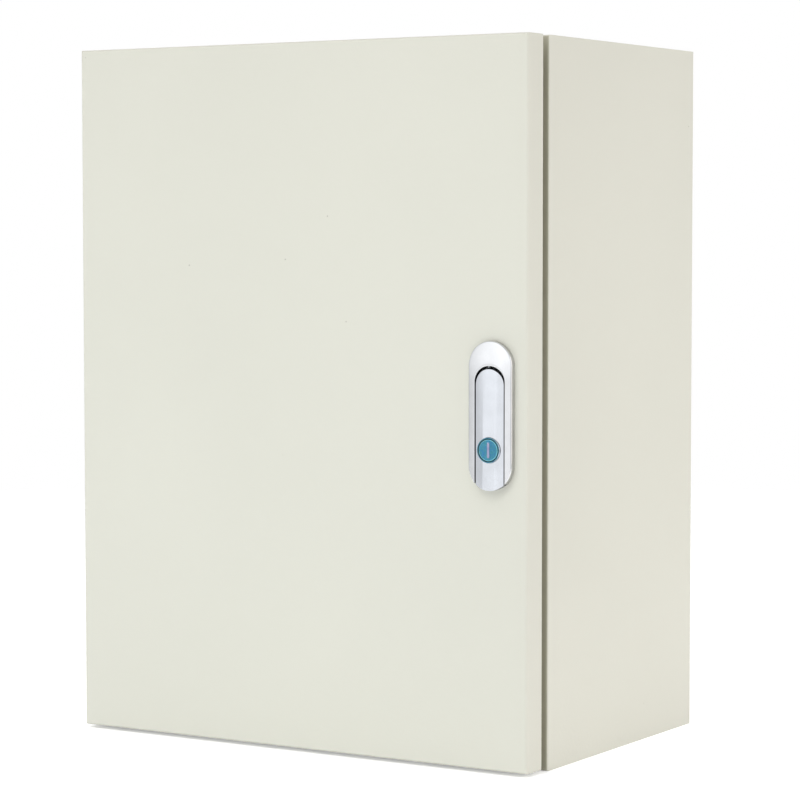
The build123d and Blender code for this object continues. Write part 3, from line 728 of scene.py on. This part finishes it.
# World: white to the camera, plain soft light, and for the metal a studio that is
# brightest in front and above, and dimmer to the left and behind
world = bpy.data.worlds.new("studio")
bpy.context.scene.world = world
world.use_nodes = True
tree = world.node_tree
soft = tree.nodes["Background"]
soft.inputs["Color"].default_value = SOFT_COLOUR
soft.inputs["Strength"].default_value = SOFT_STRENGTH


def world_math(operation, *values):
    node = tree.nodes.new("ShaderNodeMath")
    node.operation = operation
    for socket, value in zip(node.inputs, values):
        feed(tree, value, socket)
    return node.outputs["Value"]


def backdrop(colour, strength):
    node = tree.nodes.new("ShaderNodeBackground")
    feed(tree, colour, node.inputs["Color"])
    node.inputs["Strength"].default_value = strength
    return node.outputs["Background"]


heading = tree.nodes.new("ShaderNodeSeparateXYZ")
tree.links.new(tree.nodes.new("ShaderNodeTexCoord").outputs["Generated"], heading.inputs["Vector"])
# turn round the object from 0 to 1: straight in front at 0.5, the right at 0.75
backwards = world_math("MULTIPLY", heading.outputs["Y"], -1.0)
bearing = world_math("ARCTAN2", heading.outputs["X"], backwards)
bearing = world_math("ADD", world_math("DIVIDE", bearing, math.tau), 0.5)
height = world_math("ADD", world_math("MULTIPLY", heading.outputs["Z"], 0.5), 0.5)
round_stops = [(degrees / 360 + 0.5, grey(value)) for degrees, value in STUDIO_ROUND]
height_stops = [
    (math.sin(math.radians(degrees)) / 2 + 0.5, grey(value)) for degrees, value in STUDIO_HEIGHT
]
studio = tree.nodes.new("ShaderNodeMix")
studio.data_type = "RGBA"
studio.blend_type = "MULTIPLY"
studio.inputs["Factor"].default_value = 1.0
tree.links.new(colour_ramp(tree, bearing, round_stops), studio.inputs[MIX_FIRST])
tree.links.new(colour_ramp(tree, height, height_stops), studio.inputs[MIX_SECOND])
path = tree.nodes.new("ShaderNodeLightPath")


def seen_by(ray, usual, special):
    """One background for most rays, and a special one for one kind of ray."""
    node = tree.nodes.new("ShaderNodeMixShader")
    tree.links.new(path.outputs[ray], node.inputs["Fac"])
    tree.links.new(usual, node.inputs[1])
    tree.links.new(special, node.inputs[2])
    return node.outputs["Shader"]


shiny = backdrop(studio.outputs[MIX_RESULT], STUDIO_STRENGTH)
surround = seen_by("Is Glossy Ray", soft.outputs["Background"], shiny)
surround = seen_by("Is Camera Ray", surround, backdrop(grey(1.0), 1.0))
tree.links.new(surround, tree.nodes["World Output"].inputs["Surface"])


def area_light(name, at, target, size, power, colour=(1, 1, 1), mirrored=False):
    """Soft box at a point, turned to a target; mirrored shows it in the metal."""
    data = bpy.data.lights.new(name, "AREA")
    data.shape = "RECTANGLE"
    data.size, data.size_y = size
    data.energy = power
    data.color = colour
    light = bpy.data.objects.new(name, data)
    bpy.context.collection.objects.link(light)
    light.location = at
    light.rotation_euler = (Vector(target) - Vector(at)).to_track_quat("-Z", "Y").to_euler()
    light.visible_camera = False
    light.visible_glossy = mirrored


area_light("key", (-0.3, -2.6, 1.5), (0, -0.1, 0.05), (2.4, 1.8), 14.6)
area_light("fill", (2.5, 0.7, 0.6), (0.1, 0, 0), (1.8, 1.8), 14.2, (1.0, 0.875, 0.81), mirrored=True)
area_light("rear", (-1.7, 2.0, 1.4), (0, 0, 0), (1.8, 1.8), 15.0)
area_light("top", (0.0, -1.3, 1.8), (0, -0.15, 0), (1.6, 1.0), 12.2)
area_light("bounce", (-0.05, -0.85, -0.195), (0, -0.2, -0.2), (1.4, 0.3), 2.0, (0.78, 0.93, 1.0))
area_light("side_bounce", (0.6, 0.0, -0.195), (0.15, -0.05, -0.2), (0.25, 1.0), 1.1, (0.86, 0.96, 1.0))

# Camera
camera_data = bpy.data.cameras.new("camera")
camera_data.lens = CAMERA_LENS
camera_data.sensor_width = CAMERA_SENSOR
camera = bpy.data.objects.new("camera", camera_data)
bpy.context.collection.objects.link(camera)
camera.location = CAMERA_AT
turn = Matrix.Rotation(math.radians(CAMERA_YAW), 4, "Z")
tilt = Matrix.Rotation(math.radians(90 - CAMERA_DOWN), 4, "X")
roll = Matrix.Rotation(math.radians(CAMERA_ROLL), 4, "Z")
camera.rotation_euler = (turn @ tilt @ roll).to_euler()
bpy.context.scene.camera = camera
bpy.context.scene.view_settings.view_transform = "Standard"
